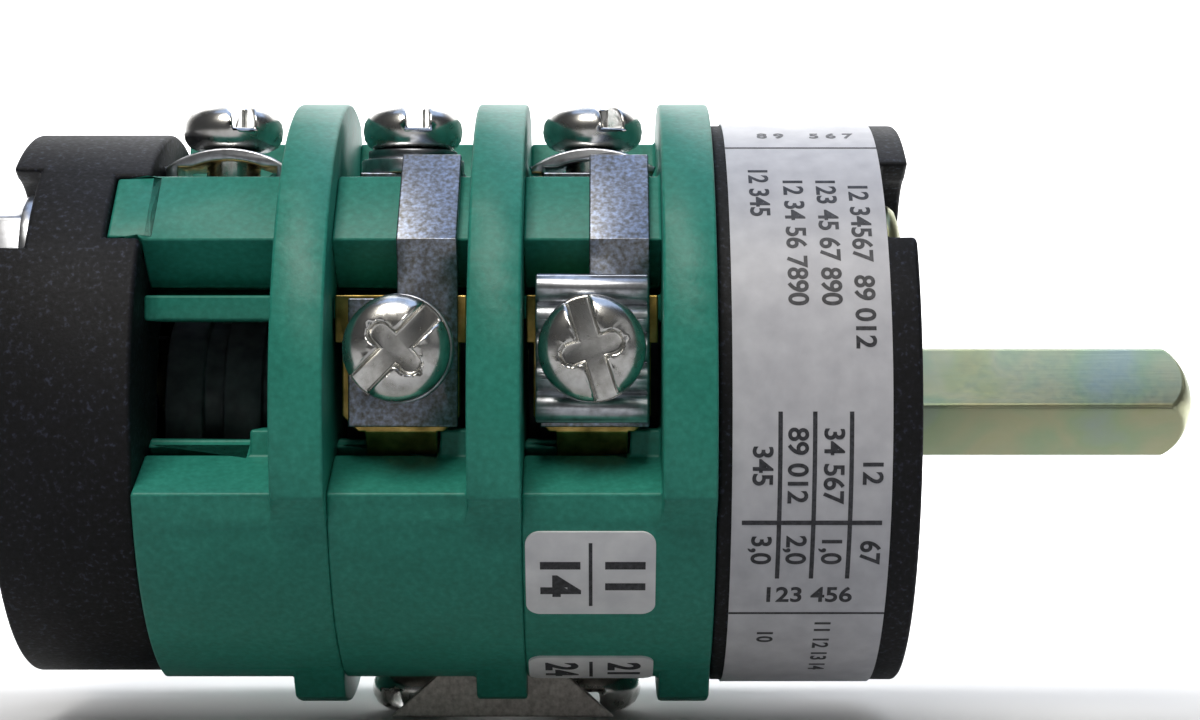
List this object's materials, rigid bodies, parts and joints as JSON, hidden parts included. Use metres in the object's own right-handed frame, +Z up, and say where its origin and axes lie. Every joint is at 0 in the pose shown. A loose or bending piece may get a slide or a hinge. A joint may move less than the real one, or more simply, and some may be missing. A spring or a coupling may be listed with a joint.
{
  "type": "rotary cam selector switch",
  "caption": "Cylindrical rotary cam switch with stacked green contact wafers, black end caps, screw terminals, bent link strips and a square drive shaft.",
  "frame": {"origin": "centre of the front plate's mounting face, on the shaft axis", "axes": "+X along the shaft to its free end, -Y towards the viewer of the picture, +Z up"},
  "size_m": [0.0895, 0.045, 0.0465],
  "materials": {
    "black_plastic": "moulded phenolic, fine texture",
    "green_plastic": "moulded thermoset, satin",
    "label_paper": "coated label stock",
    "marker_paper": "coated label stock",
    "brass": "stamped, part tinned",
    "zinc_steel": "bright zinc plated",
    "nickel_steel": "nickel plated, polished",
    "tinned_copper": "tin plated copper strip",
    "spring_steel": "hardened, oiled",
    "yellow_zinc": "yellow passivated zinc",
    "silver": "silver contact alloy",
    "copper": "bare copper alloy",
    "grey_plastic": "moulded, natural grey",
    "white_plastic": "moulded acetal",
    "dark_steel": "blackened spring steel",
    "tan_bush": "moulded nylon"
  },
  "bodies": {
    "housing": {"front_plate": "black_plastic", "rating_label": "label_paper", "mounting_inserts": "brass", "wafer_1": "green_plastic", "wafer_2": "green_plastic", "wafer_3": "green_plastic", "rear_cap": "black_plastic", "terminal_markers": "marker_paper", "tie_bolts": "yellow_zinc", "tie_washers": "zinc_steel", "tie_nuts": "zinc_steel", "terminals_1": "brass", "terminals_2": "brass", "terminals_3": "brass", "fixed_tips_1": "silver", "fixed_tips_2": "silver", "fixed_tips_3": "silver", "screws_1": "nickel_steel", "screws_2": "nickel_steel", "screws_3": "nickel_steel", "saddles_1": "zinc_steel", "saddles_2": "zinc_steel", "saddles_3": "zinc_steel", "flat_washers": "zinc_steel", "spring_washers": "spring_steel", "ribbed_clamp": "zinc_steel", "link_2": "tinned_copper", "link_3": "tinned_copper", "bottom_bridge": "tinned_copper", "detent_springs": "spring_steel"},
    "rotor": {"square_shaft": "yellow_zinc", "stop_disc": "grey_plastic", "detent_wheel": "white_plastic", "cam_1": "grey_plastic", "cam_2": "grey_plastic", "cam_3": "grey_plastic", "rear_bush": "tan_bush", "retaining_clip": "dark_steel"},
    "carrier_1b": {"plunger_1b": "white_plastic", "bridge_1b": "copper", "tips_1b": "silver", "spring_1b": "spring_steel"},
    "carrier_2a": {"plunger_2a": "white_plastic", "bridge_2a": "copper", "tips_2a": "silver", "spring_2a": "spring_steel"},
    "carrier_2b": {"plunger_2b": "white_plastic", "bridge_2b": "copper", "tips_2b": "silver", "spring_2b": "spring_steel"},
    "carrier_3a": {"plunger_3a": "white_plastic", "bridge_3a": "copper", "tips_3a": "silver", "spring_3a": "spring_steel"},
    "carrier_3b": {"plunger_3b": "white_plastic", "bridge_3b": "copper", "tips_3b": "silver", "spring_3b": "spring_steel"}
  },
  "joints": [
    {"name": "shaft_turn", "type": "hinge", "parent": "housing", "child": "rotor", "pos_m": [0, 0, 0], "axis": [1, 0, 0], "range_deg": [-60, 60], "deforming": ["detent_springs"]},
    {"name": "contact_1b", "type": "slide", "parent": "housing", "child": "carrier_1b", "axis": [0, 0.7071, 0.7071], "range_m": [-0.001, 0.001], "deforming": ["spring_1b"]},
    {"name": "contact_2a", "type": "slide", "parent": "housing", "child": "carrier_2a", "axis": [0, -0.7071, -0.7071], "range_m": [-0.001, 0.001], "deforming": ["spring_2a"]},
    {"name": "contact_2b", "type": "slide", "parent": "housing", "child": "carrier_2b", "axis": [0, 0.7071, 0.7071], "range_m": [-0.001, 0.001], "deforming": ["spring_2b"]},
    {"name": "contact_3a", "type": "slide", "parent": "housing", "child": "carrier_3a", "axis": [0, -0.7071, -0.7071], "range_m": [-0.001, 0.001], "deforming": ["spring_3a"]},
    {"name": "contact_3b", "type": "slide", "parent": "housing", "child": "carrier_3b", "axis": [0, 0.7071, 0.7071], "range_m": [-0.001, 0.001], "deforming": ["spring_3b"]}
  ],
  "couplings": [
    {"joint": "contact_1b", "follows": "shaft_turn", "m_per_rad": 0.000954},
    {"joint": "contact_2a", "follows": "shaft_turn", "m_per_rad": -0.000954},
    {"joint": "contact_2b", "follows": "shaft_turn", "m_per_rad": 0.000954},
    {"joint": "contact_3a", "follows": "shaft_turn", "m_per_rad": -0.000954},
    {"joint": "contact_3b", "follows": "shaft_turn", "m_per_rad": 0.000954}
  ]
}
